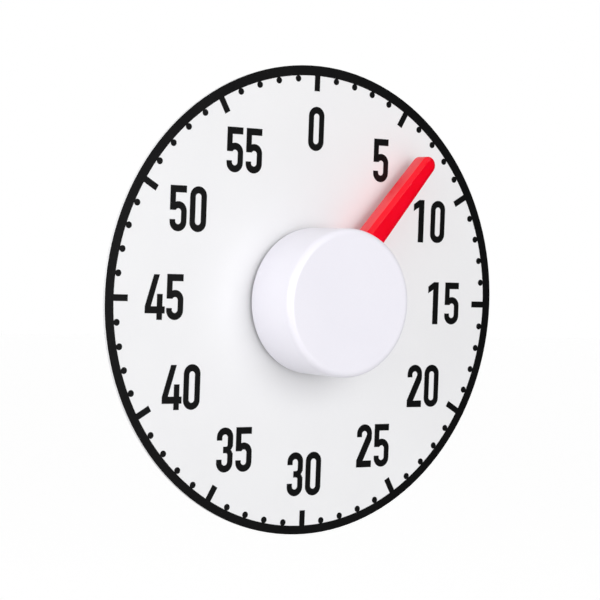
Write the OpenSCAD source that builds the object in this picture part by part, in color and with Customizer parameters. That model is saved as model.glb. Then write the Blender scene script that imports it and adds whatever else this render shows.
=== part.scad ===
// Visual countdown timer: a magnetic wall timer with a sixty-minute dial plate, a
// wind-up movement in a drum behind it, and a knob that carries a red pointer.
// Millimetres. The rear magnet plane is Y = 0, the dial faces -Y and +Z is up.
// Every module draws in the dial's own view, x right, y up, z towards the viewer
// with z = 0 on the magnet plane, and stand() turns that view upright.

/* [Dial plate] */
// Diameter of the dial plate
plate_d = 180; // [150:1:230]
// Thickness of the dial plate
plate_t = 1.4; // [1:0.1:3]
// Rounding of the plate's front and rear rims
plate_edge_r = 0.15; // [0.1:0.05:0.45]
// Diameter of the pegs that key the plate to the drum
peg_d = 3; // [2:0.5:4]
// Distance of the pegs from the centre
peg_r = 20; // [16:0.5:24]

/* [Printed dial] */
// Thickness of the printed ink
ink_t = 0.1; // [0.05:0.05:0.3]
// Width of the black band at the plate's edge
band_w = 3.58; // [2:0.02:6]
// Length of a five-minute tick inside the band
tick_len = 5.88; // [3:0.02:8]
// Width of a five-minute tick
tick_w = 2.44; // [1:0.02:4]
// Diameter of a minute dot
dot_d = 2.5; // [1:0.1:3]
// How far a minute dot runs into the band
dot_bite = 0.11; // [0.05:0.01:0.2]
// How far the print sits below the plate's centre
print_drop = 0.24; // [0:0.02:0.5]

/* [Numerals] */
// Height of a digit
digit_h = 16.9; // [10:0.1:20]
// Width of a round digit
digit_w = 7.2; // [5:0.1:9]
// Width of a digit's upright strokes
stroke = 2.35; // [1.2:0.05:2.8]
// Width of a digit's level strokes
bar_t = 2.6; // [1.2:0.05:3]
// Space between two digits
digit_gap = 1.35; // [0.8:0.05:3]
// Distance of the numerals' middles from the ticks' inner ends
numeral_in = 14.94; // [13:0.02:20]

/* [Knob] */
// Diameter of the knob
knob_d = 56; // [44:0.2:66]
// Height of the knob from its rear rim to its front
knob_h = 24.9; // [22:0.1:32]
// Gap between the dial face and the knob's rear rim
knob_lift = 1.8; // [1:0.1:4]
// Wall of the knob's skirt
knob_wall = 2.2; // [1.4:0.1:3.2]
// Thickness of the knob's front
knob_front_t = 2.4; // [1.6:0.1:3.6]
// Rounding of the knob's front edge
knob_edge_r = 2.6; // [1:0.1:3.2]
// Diameter of the hub inside the knob
hub_d = 15; // [13:0.5:18]
// Wall of the hub round the brass insert
hub_wall = 2.5; // [1.8:0.1:3.5]
// Number of ribs between the hub and the skirt
rib_count = 6; // [3:1:6]
// Thickness of a rib
rib_t = 1.2; // [0.8:0.1:2]
// Height of a rib
rib_h = 10; // [4:0.5:12]

/* [Pointer] */
// Minutes that the pointer shows at rest
shown_minutes = 6.7; // [1:0.1:50]
// Distance from the axis to the pointer's tip
pointer_r = 74.4; // [60:0.2:80]
// Width of the pointer where it leaves the knob
pointer_root_w = 9.3; // [7:0.1:11]
// Width of the pointer at its rounded tip
pointer_tip_w = 6.8; // [4:0.1:7]
// Height of the pointer's underside above the dial face
pointer_lift = 5.8; // [5:0.1:9]
// Height of the pointer's upright sides
pointer_side_h = 6.5; // [3:0.1:7]
// Height of the bevel above the sides
bevel_h = 1.15; // [0.6:0.05:2]
// Width of the bevel
bevel_w = 1.7; // [0.8:0.05:2]
// Width of the tongue that runs into the knob
tongue_w = 7; // [5:0.2:7]
// Diameter of the screws that hold the pointer
pointer_screw_d = 2; // [1.6:0.1:2.4]
// Distance from the hub to the first screw, and on to the second
pointer_screw_pitch = 6.5; // [6:0.1:7]
// How deep the screws' heads stand in the tongue
screw_sink = 2; // [1.6:0.1:2.4]

/* [Drum] */
// Wall of the drum case
drum_wall = 1.8; // [1.2:0.1:2.6]
// Thickness of the drum's floor behind the plate
floor_t = 1.2; // [0.8:0.1:2]
// Thickness of the rear cover
cover_t = 2; // [1.6:0.1:3]
// Depth of the room for the bell behind the movement
bell_room = 3.5; // [3.4:0.1:6]
// Diameter of the posts that take the cover screws
boss_d = 4.8; // [4.2:0.2:6]
// Diameter of the cover screws
cover_screw_d = 2; // [1.6:0.1:2.2]
// How far the drum's rim stays clear of the surface behind it
rim_lift = 0.3; // [0.1:0.1:1]
// Number of sound slots in the cover
slot_count = 8; // [4:1:10]
// Width of a sound slot
slot_w = 1.6; // [1:0.1:2.4]

/* [Magnets] */
// Diameter of a disc magnet
magnet_d = 12; // [8:0.5:12]
// Thickness of a disc magnet
magnet_t = 3; // [2:0.1:3.2]
// Distance of the magnets from the centre
magnet_r = 25; // [23:0.5:26]

/* [Movement plates] */
// Thickness of the two movement plates
mplate_t = 0.8; // [0.6:0.1:1.2]
// Diameter of the pillars between the plates
pillar_d = 3.2; // [2.6:0.1:3.4]
// Diameter of the pillar screws
pillar_screw_d = 1.6; // [1.2:0.1:1.8]
// Margin of the movement plates outside the train
mplate_margin = 0.7; // [0.5:0.1:2]

/* [Centre bush] */
// Diameter of the main arbor
arbor_d = 5; // [4:0.1:5.4]
// Diameter of the main arbor's rear pivot
main_pivot_d = 3; // [2:0.1:3.4]
// Diameter of the bush's thread
bush_d = 8; // [7.4:0.1:9]
// Diameter of the bush's flange
flange_d = 10.4; // [9.8:0.1:12]
// Thickness of the bush's flange
flange_t = 0.7; // [0.5:0.1:1]
// Thickness of the washer
washer_t = 0.5; // [0.3:0.1:0.8]
// Width of the hex nut across its flats
nut_af = 11; // [10:0.5:13]
// Thickness of the hex nut
nut_t = 2.2; // [1.6:0.1:2.4]

/* [Gear train] */
// Teeth of the great wheel
great_teeth = 72; // [64:1:76]
// Teeth of the second wheel
second_teeth = 60; // [54:1:62]
// Teeth of the third wheel
third_teeth = 64; // [56:1:66]
// Teeth of each pinion
pinion_teeth = 8; // [8:1:9]
// Module of the great wheel
great_module = 0.42; // [0.4:0.01:0.44]
// Module of the second wheel
second_module = 0.36; // [0.34:0.01:0.38]
// Module of the third wheel
third_module = 0.3; // [0.28:0.01:0.31]
// Thickness of the wheels, the cam and the levers
wheel_t = 0.8; // [0.6:0.05:1]
// Diameter of the train's arbors
train_arbor_d = 1.2; // [1:0.05:1.3]
// Diameter of the train's pivots
pivot_d = 0.8; // [0.6:0.05:0.9]
// Play between meshing teeth, as a share of the module
backlash = 0.12; // [0.08:0.01:0.2]

/* [Escapement] */
// Teeth of the escape wheel
escape_teeth = 20; // [18:1:22]
// Radius of the escape wheel
escape_r = 6.4; // [5.8:0.1:6.6]
// Depth of an escape tooth
escape_depth = 1.4; // [1:0.1:1.8]
// Distance between the escape arbor and the pallet arbor
pallet_reach = 9.5; // [9:0.1:10.5]
// Teeth that the pallets span
pallet_span = 2.5; // [2.5:1:3.5]
// Diameter of a pallet pin
pallet_pin_d = 0.6; // [0.4:0.05:0.7]
// Length of the balance bar
balance_len = 15; // [10:0.5:16]

/* [Mainspring and ratchet] */
// Height of the mainspring
spring_h = 2.6; // [2:0.1:4]
// Outer radius of the coiled mainspring
spring_r = 10.6; // [8:0.2:11]
// Thickness of the spring strip
spring_strip = 0.45; // [0.3:0.05:0.5]
// Turns of the mainspring
spring_turns = 6; // [4:1:7]
// Teeth of the ratchet wheel
ratchet_teeth = 12; // [10:1:14]
// Radius of the ratchet wheel
ratchet_r = 6.2; // [5.6:0.1:6.6]
// Depth of a ratchet tooth
ratchet_depth = 1; // [0.7:0.1:1.2]

/* [Alarm] */
// Radius of the bell
bell_r = 16; // [13:0.5:16.4]
// Wall of the bell
bell_wall = 0.7; // [0.5:0.1:0.9]
// Radius of the hammer head
hammer_head_r = 1.8; // [1.2:0.1:2]
// Gap between the hammer head and the bell at rest
hammer_gap = 0.75; // [0.6:0.05:1]
// Radius of the release cam
cam_r = 5.3; // [4.6:0.1:5.4]
// Depth of the cam's notch
notch_depth = 1; // [0.6:0.1:1.4]
// Radius of the alarm star
star_r = 3.2; // [2.4:0.1:3.4]
// Longest time that the knob can be set to, in minutes
longest_minutes = 57; // [54:1:58]

/* [Hidden] */
$fn = 64;

// clearances
fit = 0.02;           // pressed or threaded pieces
run = 0.04;           // radial play of a pivot or an arbor
slip = 0.1;           // loose seats
end_gap = 0.2;        // end play between neighbours on one arbor
layer_gap = 0.3;      // space between moving layers
cut = 1;              // how far a cutting solid runs past the face that it opens

// heights of the stacked layers above the magnet plane
back_z = cover_t + bell_room;                      // rear face of the back movement plate
inner_back_z = back_z + mplate_t;
stop_z = inner_back_z + layer_gap;                 // stop arm and alarm star
second_z = stop_z + wheel_t + layer_gap;           // second wheel, cam and balance bar
third_z = second_z + wheel_t + layer_gap;
spring_z = third_z + wheel_t + layer_gap;
ratchet_z = spring_z + spring_h + layer_gap;
great_z = ratchet_z + wheel_t + end_gap;
inner_front_z = great_z + wheel_t + end_gap + flange_t;
floor_z = inner_front_z + mplate_t;                // rear face of the drum's floor
plate_z = floor_z + floor_t;
face_z = plate_z + plate_t;                        // the dial face
escape_z = spring_z + 2 * layer_gap + wheel_t;
pallet_z = escape_z + wheel_t + end_gap;
base_z = face_z + knob_lift;                       // the knob's rear rim
front_z = base_z + knob_h;                         // the knob's front
nut_z = face_z + washer_t;
bush_top_z = nut_z + nut_t + 0.5;
hub_z = bush_top_z + 2 * layer_gap;                // rear end of the knob's hub
bell_seat_z = cover_t + 0.5;

// angles, anticlockwise from three o'clock as the dial is seen
minute_deg = 6;
pointer_deg = -shown_minutes * minute_deg;         // turn of everything on the main arbor
peg_count = 3;
corner_count = 4;                                  // cover screws and magnets
pillar_degs = [27, 150, 220, -55];
spring_post_deg = 250;

// the train: involute teeth, the pinions shifted out and the wheels shifted in
pressure_deg = 20;
shift = 0.55;
pinion_addendum = 1.3;
pinion_dedendum = 0.75;
wheel_addendum = 1 - shift;
wheel_dedendum = 1.75;
pinion_lap = 0.12;                                 // how far a pinion outreaches its wheel
second_dir = 90;                                   // main arbor to second arbor
third_dir = -20.4;                                 // second arbor to third arbor
escape_dir = -49.5;                                // third arbor to escape arbor
pallet_dir = -100;                                 // escape arbor to pallet arbor
balance_dir = 62;

function polar(r, a) = [r * cos(a), r * sin(a)];
function gear_span(teeth, mod) = mod * (teeth + pinion_teeth) / 2;
function tip_radius(teeth, mod) = mod * (teeth / 2 + wheel_addendum);
function pinion_tip(mod) = mod * (pinion_teeth / 2 + pinion_addendum);

second_at = polar(gear_span(great_teeth, great_module), second_dir);
third_at = second_at + polar(gear_span(second_teeth, second_module), third_dir);
escape_at = third_at + polar(gear_span(third_teeth, third_module), escape_dir);
pallet_at = escape_at + polar(pallet_reach, pallet_dir);
hammer_at = polar(23.5, 128);
release_at = polar(16.6, 184.5);

mplate_r = max(norm(second_at) + tip_radius(second_teeth, second_module),
               norm(third_at) + tip_radius(third_teeth, third_module),
               norm(escape_at) + escape_r) + mplate_margin;
pillar_r = mplate_r - pillar_d / 2 - 0.9;
boss_r = mplate_r + layer_gap + boss_d / 2;
drum_in_r = boss_r + boss_d / 2 + 0.6;
drum_r = drum_in_r + drum_wall;

// meshing: the turn of a wheel that follows another along the direction dir
function mesh_turn(dir, turn, teeth, follower) =
    dir + 180 + 180 / follower + (dir - turn) * teeth / follower;
great_turn = pointer_deg;
second_pinion_turn = mesh_turn(second_dir, great_turn, great_teeth, pinion_teeth);
third_pinion_turn = mesh_turn(third_dir, 0, second_teeth, pinion_teeth);
escape_pinion_turn = mesh_turn(escape_dir, 0, third_teeth, pinion_teeth);

// ---------------------------------------------------------------- shared shapes

// turns the dial's view upright, so that its z runs towards the viewer along -Y
module stand() { rotate([90, 0, 0]) children(); }

module lift(z) { translate([0, 0, z]) children(); }

module at(p) { translate([p[0], p[1], 0]) children(); }

module ring_of(count, radius, first = 0) {
    for (i = [0 : count - 1]) at(polar(radius, first + i * 360 / count)) children();
}

module corners(radius, first) { ring_of(corner_count, radius, first) children(); }

// a straight bar with round ends from p to q
module bar(p, q, width) {
    d = q - p;
    at(p) circle(d = width);
    at(q) circle(d = width);
    at(p) rotate(atan2(d[1], d[0])) translate([0, -width / 2]) square([norm(d), width]);
}

// a screw along z: its head stands on z = 0 towards +z, and its shank runs to -z
module screw(d, head_d, head_h, length) {
    difference() {
        union() {
            cylinder(d = head_d, h = head_h);
            lift(-length) cylinder(d = d, h = length + head_h / 2);
        }
        lift(head_h / 2) for (a = [0, 90]) rotate(a) translate([-head_d * 0.32, -d / 8, 0])
            cube([head_d * 0.64, d / 4, head_h]);
    }
}

// half the angle that an involute tooth covers at radius r
function involute(a) = tan(a) - a * PI / 180;
function half_tooth(r, teeth, mod, x) =
    let (base = mod * teeth / 2 * cos(pressure_deg),
         flank = acos(min(1, base / max(r, base))),
         thick = mod * (PI / 2 + 2 * x * tan(pressure_deg) - backlash))
    (thick / (mod * teeth) + involute(pressure_deg) - involute(flank)) * 180 / PI;

// a toothed outline, with the middle of a tooth on the x axis
module toothed(teeth, mod, x, addendum, dedendum) {
    root = mod * (teeth / 2 - dedendum);
    tip = mod * (teeth / 2 + addendum);
    steps = 3;
    radii = [for (i = [0 : steps]) root + (tip - root) * i / steps];
    polygon([for (k = [0 : teeth - 1]) let (mid = k * 360 / teeth) each concat(
        [for (i = [0 : steps]) polar(radii[i], mid - half_tooth(radii[i], teeth, mod, x))],
        [for (i = [steps : -1 : 0]) polar(radii[i], mid + half_tooth(radii[i], teeth, mod, x))]
    )]);
}

module wheel_outline(teeth, mod) { toothed(teeth, mod, -shift, wheel_addendum, wheel_dedendum); }

module pinion_outline(mod) { toothed(pinion_teeth, mod, shift, pinion_addendum, pinion_dedendum); }

// a twelve-sided seat that grips a round arbor
module seat_outline(d) { circle(r = (d / 2 + fit) / cos(15), $fn = 12); }

// light holes between a wheel's hub and its rim
module light_holes(count, radius, d) { ring_of(count, radius, 180 / count) circle(d = d, $fn = 12); }

// an arbor with a pivot at each end, running in both movement plates
module pivoted_arbor(d) {
    lift(inner_back_z + end_gap) cylinder(d = d, h = inner_front_z - inner_back_z - 2 * end_gap);
    lift(back_z) cylinder(d = pivot_d, h = floor_z - back_z - end_gap / 2);
}

// ---------------------------------------------------------------- dial

module dial_plate() {
    bore_r = bush_d / 2 + slip;
    color("white") stand() {
        lift(plate_z) rotate_extrude() difference() {
            union() {
                translate([bore_r, 0]) square([plate_d / 2 - plate_edge_r - bore_r, plate_t]);
                translate([bore_r, plate_edge_r])
                    square([plate_d / 2 - bore_r, plate_t - 2 * plate_edge_r]);
                for (z = [plate_edge_r, plate_t - plate_edge_r])
                    translate([plate_d / 2 - plate_edge_r, z]) circle(r = plate_edge_r);
            }
        }
        lift(plate_z - floor_t + end_gap) ring_of(peg_count, peg_r, 90)
            cylinder(d = peg_d, h = floor_t);
    }
}

module minute_band() {
    outer = plate_d / 2;
    inner = outer - band_w;
    color("black") stand() lift(face_z) linear_extrude(ink_t) {
        difference() {
            circle(r = outer, $fn = 180);
            translate([0, -print_drop]) circle(r = inner, $fn = 180);
        }
        translate([0, -print_drop]) for (m = [0 : 59]) rotate(-m * minute_deg)
            if (m % 5 == 0)
                translate([-tick_w / 2, inner - tick_len]) square([tick_w, tick_len + band_w / 2]);
            else
                translate([0, inner - dot_d / 2 + dot_bite]) circle(d = dot_d);
    }
}

// digits: each is drawn with its lower left corner at the origin
module round_end_box(w, h) {
    translate([w / 2, w / 2]) circle(d = w);
    translate([w / 2, h - w / 2]) circle(d = w);
    translate([0, w / 2]) square([w, h - w]);
}

// a ring with semicircular ends, digit_w wide and h high
module loop(h) {
    difference() {
        round_end_box(digit_w, h);
        translate([stroke, bar_t]) round_end_box(digit_w - 2 * stroke, h - 2 * bar_t);
    }
}

module digit_0() { loop(digit_h); }

one_w = stroke * 2.22;
module digit_1() {
    stem = stroke * 1.14;
    flag = one_w - stem;
    polygon([[flag, 0], [one_w, 0], [one_w, digit_h], [flag + 0.1 * stem, digit_h],
             [0, digit_h - flag * 0.71], [0, digit_h - flag * 0.71 - bar_t * 1.05],
             [flag, digit_h - bar_t * 1.15]]);
}

// the bowl's upper arc drops straight for a little, then turns into a diagonal that leans from
// upright; the diagonal's inner side leaves the hole as a tangent
module digit_2() {
    lean = 25.9;
    r = digit_w / 2;
    c = [r, digit_h - r];
    low_c = c - [0, digit_w * 0.2];
    hole = c - [0, bar_t - stroke];
    out_dir = polar(1, -lean);
    down = [out_dir[1], -out_dir[0]];
    outer = low_c + r * out_dir;
    inner = hole + (r - stroke) * out_dir;
    run_down = digit_h;
    difference() {
        union() {
            translate([0, digit_h - r - stroke * 0.6]) square([stroke, stroke * 0.6 + 0.01]);
            difference() {
                union() {
                    at(c) circle(r = r);
                    at(low_c) circle(r = r);
                    at(low_c) square([r, c[1] - low_c[1]]);
                }
                polygon([[0, c[1]], c, inner, inner + run_down * down, [-digit_w, 0], [-digit_w, c[1]]]);
            }
            intersection() {
                polygon([outer, inner, inner + run_down * down, outer + run_down * down]);
                square([digit_w, digit_h]);
            }
            square([digit_w, bar_t]);
        }
        at(hole) circle(r = r - stroke);
    }
}

// half of the three: the top bowl down to the middle of the bar
module three_bowl() {
    r = digit_w / 2;
    waist_r = r;
    bar_h = bar_t * 0.94;
    bar_x = digit_w * 0.4;
    low = digit_h / 2 - bar_h / 2;
    hole_r = r - stroke;
    hole_low_r = hole_r * 0.55;
    difference() {
        union() {
            translate([r, digit_h - r]) circle(r = r);
            translate([0, digit_h / 2 + bar_h / 2]) square([digit_w, digit_h / 2 - bar_h / 2 - r]);
            translate([0, low]) square([digit_w - waist_r, waist_r]);
            translate([digit_w - waist_r, low + waist_r]) circle(r = waist_r);
            translate([0, low + waist_r]) square([digit_w, digit_h - r - low - waist_r]);
        }
        translate([r, digit_h - r - bar_t + stroke]) circle(r = hole_r);
        translate([stroke, low + bar_h + hole_low_r])
            square([2 * hole_r, digit_h - r - bar_t + stroke - low - bar_h - hole_low_r]);
        translate([stroke, low + bar_h]) square([2 * hole_r - hole_low_r, 2 * hole_low_r]);
        translate([digit_w - stroke - hole_low_r, low + bar_h + hole_low_r]) circle(r = hole_low_r);
        translate([-cut, low - cut]) square([cut + bar_x, cut + bar_h + 0.001]);
        translate([-cut, low]) square([cut + stroke + 0.001, digit_h - r - stroke * 0.54 - low]);
    }
}

module digit_3() {
    three_bowl();
    translate([0, digit_h]) mirror([0, 1]) three_bowl();
}

four_w = stroke * 3.6;
module digit_4() {
    h = digit_h * 0.985;
    bar_low = stroke;
    stem_r = four_w - stroke * 0.45;
    stem_l = stem_r - stroke;
    top_l = stroke * 1.5;
    polygon([[stem_l, 0], [stem_r, 0], [stem_r, bar_low], [four_w, bar_low],
             [four_w, bar_low + bar_t], [stem_r, bar_low + bar_t], [stem_r, h * 0.57],
             [stem_l, h * 0.57], [stem_l, bar_low + bar_t], [stroke * 1.07, bar_low + bar_t],
             [top_l + stroke * 1.03, h], [top_l, h], [0, bar_low + bar_t], [0, bar_low],
             [stem_l, bar_low]]);
}

module digit_5() {
    bowl_h = digit_h * 0.655;
    stem_low = digit_h * 0.462;
    hook_high = digit_h * 0.26;
    difference() {
        loop(bowl_h);
        translate([-cut, hook_high]) square([cut + digit_w / 2, stem_low - hook_high]);
        translate([-cut, stem_low]) square([cut + stroke, bowl_h]);
    }
    translate([0, stem_low]) square([stroke, digit_h - stem_low]);
    translate([0, digit_h - bar_t]) square([digit_w * 0.97, bar_t]);
}

module digit(n) {
    if (n == 0) digit_0();
    if (n == 1) digit_1();
    if (n == 2) digit_2();
    if (n == 3) digit_3();
    if (n == 4) digit_4();
    if (n == 5) digit_5();
}

function digit_width(n) = n == 1 ? one_w : n == 4 ? four_w : digit_w;
// the one stands further from its neighbour and the four closer
function gap_after(n) = n == 1 ? digit_gap * 2.56 : n == 4 ? digit_gap * 0.5 : digit_gap;

module number(value) {
    tens = floor(value / 10);
    units = value % 10;
    lead = tens > 0 ? digit_width(tens) + gap_after(tens) : 0;
    translate([-(lead + digit_width(units)) / 2, -digit_h / 2]) {
        if (tens > 0) digit(tens);
        translate([lead, 0]) digit(units);
    }
}

// how far each number is set off its place on the circle, to look evenly spaced
number_nudge = [
    [0.2, 0.55], [-1, -1.05], [0.2, 0], [0.25, 0.2], [0.1, -0.2], [0.1, 0.45],
    [0.2, -0.9], [0.55, 0.5], [0.25, 0.25], [0.5, 0.6], [0.7, 0.4], [0.55, -0.75]
];

numeral_r = plate_d / 2 - band_w - tick_len - numeral_in;

module numerals() {
    color("black") stand() lift(face_z) linear_extrude(ink_t) translate([0, -print_drop]) for (i = [0 : 11])
        at(polar(numeral_r, 90 - 5 * i * minute_deg) + number_nudge[i]) number(5 * i);
}

// ---------------------------------------------------------------- drum

cover_head_d = boss_d - 0.8;
cover_head_h = cover_t * 0.6;

module drum_case() {
    color("white") stand() difference() {
        union() {
            difference() {
                lift(rim_lift) cylinder(r = drum_r, h = plate_z - rim_lift);
                lift(rim_lift - cut) cylinder(r = drum_in_r, h = floor_z - rim_lift + cut);
            }
            lift(cover_t) corners(boss_r, 0) cylinder(d = boss_d, h = floor_z + floor_t / 2 - cover_t);
            lift(cover_t) for (i = [0 : corner_count - 1]) rotate(i * 360 / corner_count)
                translate([boss_r, -rib_t / 2, 0]) cube([drum_r - boss_r - drum_wall / 2, rib_t,
                                                         floor_z - cover_t]);
        }
        lift(floor_z - cut) cylinder(d = bush_d + 2 * slip, h = floor_t + 2 * cut);
        lift(floor_z - cut) ring_of(peg_count, peg_r, 90) cylinder(d = peg_d + 2 * slip, h = floor_t + 2 * cut);
        corners(boss_r, 0) lift(cover_t - cut)
            cylinder(d = cover_screw_d + 2 * fit, h = cut + 4 * cover_screw_d);
    }
}

module rear_cover() {
    cup_wall = 0.9;
    cup_floor = 0.6;
    color("white") stand() difference() {
        union() {
            cylinder(r = drum_in_r - 2 * slip, h = cover_t);
            corners(magnet_r, 45) cylinder(d = magnet_d + 2 * cup_wall, h = magnet_t + cup_floor);
            cylinder(d = 6, h = bell_seat_z);
        }
        lift(-cut) corners(magnet_r, 45) cylinder(d = magnet_d + 2 * slip, h = magnet_t + cut);
        lift(-cut) corners(boss_r, 0) {
            cylinder(d = cover_screw_d + 4 * slip, h = cover_t + 2 * cut);
            cylinder(d = cover_head_d + 4 * slip, h = cover_head_h + slip + cut);
        }
        lift(0.8) cylinder(d = bell_screw_d + 2 * fit, h = bell_seat_z);
        lift(-cut) for (i = [0 : slot_count - 1]) rotate(i * 360 / slot_count)
            translate([7.5, -slot_w / 2, 0]) cube([6.5, slot_w, cover_t + 2 * cut]);
    }
}

module cover_screws() {
    color("silver") stand() corners(boss_r, 0) lift(cover_head_h) mirror([0, 0, 1])
        screw(cover_screw_d, cover_head_d, cover_head_h - slip, 3.5 * cover_screw_d);
}

module magnets() {
    color("dimgray") stand() corners(magnet_r, 45) cylinder(d = magnet_d, h = magnet_t - end_gap / 4);
}

// ---------------------------------------------------------------- movement frame

module movement_plate_outline() {
    difference() {
        circle(r = mplate_r);
        for (p = [second_at, third_at, escape_at, pallet_at, hammer_at, release_at])
            at(p) circle(d = pivot_d + 2 * run);
    }
}

module front_movement_plate() {
    color("goldenrod") stand() lift(inner_front_z) linear_extrude(mplate_t) difference() {
        movement_plate_outline();
        circle(d = bush_d + 2 * slip);
        for (a = pillar_degs) at(polar(pillar_r, a)) circle(d = pillar_d / 2 + 2 * fit);
    }
}

module back_movement_plate() {
    color("goldenrod") stand() lift(back_z) linear_extrude(mplate_t) difference() {
        movement_plate_outline();
        circle(d = main_pivot_d + 2 * run);
        for (a = pillar_degs) at(polar(pillar_r, a)) circle(d = pillar_screw_d + 2 * slip);
    }
}

module pillars() {
    color("silver") stand() for (a = pillar_degs) at(polar(pillar_r, a)) difference() {
        union() {
            lift(inner_back_z) cylinder(d = pillar_d, h = inner_front_z - inner_back_z);
            lift(inner_front_z) cylinder(d = pillar_d / 2, h = mplate_t);
        }
        lift(inner_back_z - cut) cylinder(d = pillar_screw_d + 2 * fit, h = cut + 3 * pillar_screw_d);
    }
}

module pillar_screws() {
    color("silver") stand() for (a = pillar_degs) at(polar(pillar_r, a)) lift(back_z)
        mirror([0, 0, 1]) screw(pillar_screw_d, 1.9 * pillar_screw_d, 0.9, 3.2 * pillar_screw_d);
}

module centre_bush() {
    color("goldenrod") stand() difference() {
        union() {
            lift(inner_front_z - flange_t) cylinder(d = flange_d, h = flange_t);
            lift(inner_front_z - flange_t / 2) cylinder(d = bush_d, h = bush_top_z - inner_front_z + flange_t / 2);
        }
        lift(inner_front_z - flange_t - cut)
            cylinder(d = arbor_d + 2 * run, h = bush_top_z - inner_front_z + flange_t + 2 * cut);
    }
}

module washer() {
    color("silver") stand() lift(face_z) difference() {
        cylinder(d = nut_af * 1.2, h = washer_t);
        lift(-cut) cylinder(d = bush_d + 2 * slip, h = washer_t + 2 * cut);
    }
}

module hex_nut() {
    color("silver") stand() lift(nut_z) difference() {
        cylinder(d = nut_af / cos(30), h = nut_t, $fn = 6);
        lift(-cut) cylinder(d = bush_d + 2 * fit, h = nut_t + 2 * cut);
    }
}

// ---------------------------------------------------------------- knob and pointer

knob_r = knob_d / 2;
knob_in_r = knob_r - knob_wall;
ceiling_z = front_z - knob_front_t;                // inner face of the knob's front
insert_d = hub_d - 2 * hub_wall;
insert_len = 14;
flat_x = arbor_d * 0.4;                            // distance of the arbor's flat from its axis
tongue_top_z = face_z + pointer_lift + pointer_side_h - 0.6;
screw_radii = [hub_d / 2 + pointer_screw_pitch, hub_d / 2 + 2 * pointer_screw_pitch];

// the pointer's outline, along +y, drawn in by inset all round
module pointer_outline(inset) {
    tip = pointer_tip_w / 2 - inset;
    root = pointer_root_w / 2 - inset;
    start = knob_in_r - 2;
    hull() {
        translate([-root, start]) square([2 * root, 1]);
        translate([0, pointer_r - pointer_tip_w / 2]) circle(r = tip, $fn = 48);
    }
}

// the pointer's bevelled blade: upright sides, then a bevel up to the flat top
module blade() {
    lift(face_z + pointer_lift) hull() {
        linear_extrude(pointer_side_h) pointer_outline(0);
        linear_extrude(pointer_side_h + bevel_h) pointer_outline(bevel_w);
    }
}

// the opening in the knob's skirt, shaped like the blade's cross-section
module window() {
    side = pointer_root_w / 2 + slip;
    ridge = side - bevel_w;
    high = pointer_side_h + bevel_h + slip;
    translate([0, knob_r + cut, face_z + pointer_lift]) rotate([90, 0, 0])
        linear_extrude(knob_wall + 2 * cut) polygon([
            [-side, -slip], [side, -slip], [side, pointer_side_h + slip / 2], [ridge, high],
            [-ridge, high], [-side, pointer_side_h + slip / 2]
        ]);
}

module knob_cap() {
    color("white") stand() rotate(pointer_deg) difference() {
        union() {
            lift(base_z) rotate_extrude($fn = 180) difference() {
                union() {
                    square([knob_r - knob_edge_r, knob_h]);
                    square([knob_r, knob_h - knob_edge_r]);
                    translate([knob_r - knob_edge_r, knob_h - knob_edge_r]) circle(r = knob_edge_r);
                }
                translate([0, -cut]) square([knob_in_r, knob_h - knob_front_t + cut]);
            }
            lift(hub_z) cylinder(d = hub_d, h = ceiling_z - hub_z + cut / 2);
            for (r = screw_radii) translate([0, r, tongue_top_z])
                cylinder(d = 3 * pointer_screw_d, h = ceiling_z - tongue_top_z + cut / 2);
            for (i = [0 : rib_count - 1]) rotate(90 + (i + 0.5) * 360 / rib_count)
                translate([hub_d / 2 - cut, -rib_t / 2, ceiling_z - rib_h])
                    cube([knob_in_r - hub_d / 2 + 1.5 * cut, rib_t, rib_h + cut / 2]);
        }
        lift(hub_z - cut) cylinder(d = insert_d + 2 * fit, h = insert_len + cut);
        lift(hub_z - cut) cylinder(d = arbor_d + 2 * slip, h = insert_len + 3 * cut);
        for (r = screw_radii) translate([0, r, tongue_top_z - cut])
            cylinder(d = pointer_screw_d + 2 * fit, h = cut + 2.5 * pointer_screw_d);
        window();
    }
}

module arbor_outline(d, flat) {
    intersection() {
        circle(d = d);
        translate([-d, -d]) square([d + flat, 2 * d]);
    }
}

module knob_insert() {
    color("goldenrod") stand() rotate(pointer_deg) lift(hub_z) linear_extrude(insert_len) difference() {
        circle(d = insert_d);
        arbor_outline(arbor_d + 2 * fit, flat_x + fit);
    }
}

module pointer() {
    end_r = screw_radii[0] - 2 * pointer_screw_d;
    color("red") stand() rotate(pointer_deg) difference() {
        union() {
            blade();
            lift(face_z + pointer_lift) linear_extrude(tongue_top_z - face_z - pointer_lift)
                translate([-tongue_w / 2, end_r]) square([tongue_w, knob_in_r - end_r]);
        }
        for (r = screw_radii) translate([0, r, face_z]) cylinder(d = pointer_screw_d + 2 * slip, h = knob_h);
        for (r = screw_radii) translate([0, r, face_z]) cylinder(d = 2 * pointer_screw_d + 2 * slip, h = pointer_lift + screw_sink);
        // inside the skirt the blade is cut down to the tongue
        lift(tongue_top_z) translate([-pointer_root_w, 0, 0]) cube([2 * pointer_root_w, knob_in_r - slip, knob_h]);
    }
}

module pointer_screws() {
    color("silver") stand() rotate(pointer_deg) for (r = screw_radii)
        translate([0, r, face_z + pointer_lift + screw_sink]) mirror([0, 0, 1])
            screw(pointer_screw_d, 2 * pointer_screw_d, 0.7 * screw_sink,
                  tongue_top_z - face_z - pointer_lift - screw_sink + 2 * pointer_screw_d);
}

module main_arbor() {
    color("silver") stand() rotate(pointer_deg) {
        lift(back_z) cylinder(d = main_pivot_d, h = mplate_t + end_gap);
        lift(inner_back_z + end_gap) cylinder(d = arbor_d, h = hub_z - end_gap - inner_back_z - end_gap);
        lift(hub_z - 2 * end_gap) linear_extrude(insert_len) arbor_outline(arbor_d, flat_x);
    }
}

// ---------------------------------------------------------------- great wheel, ratchet, mainspring

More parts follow.
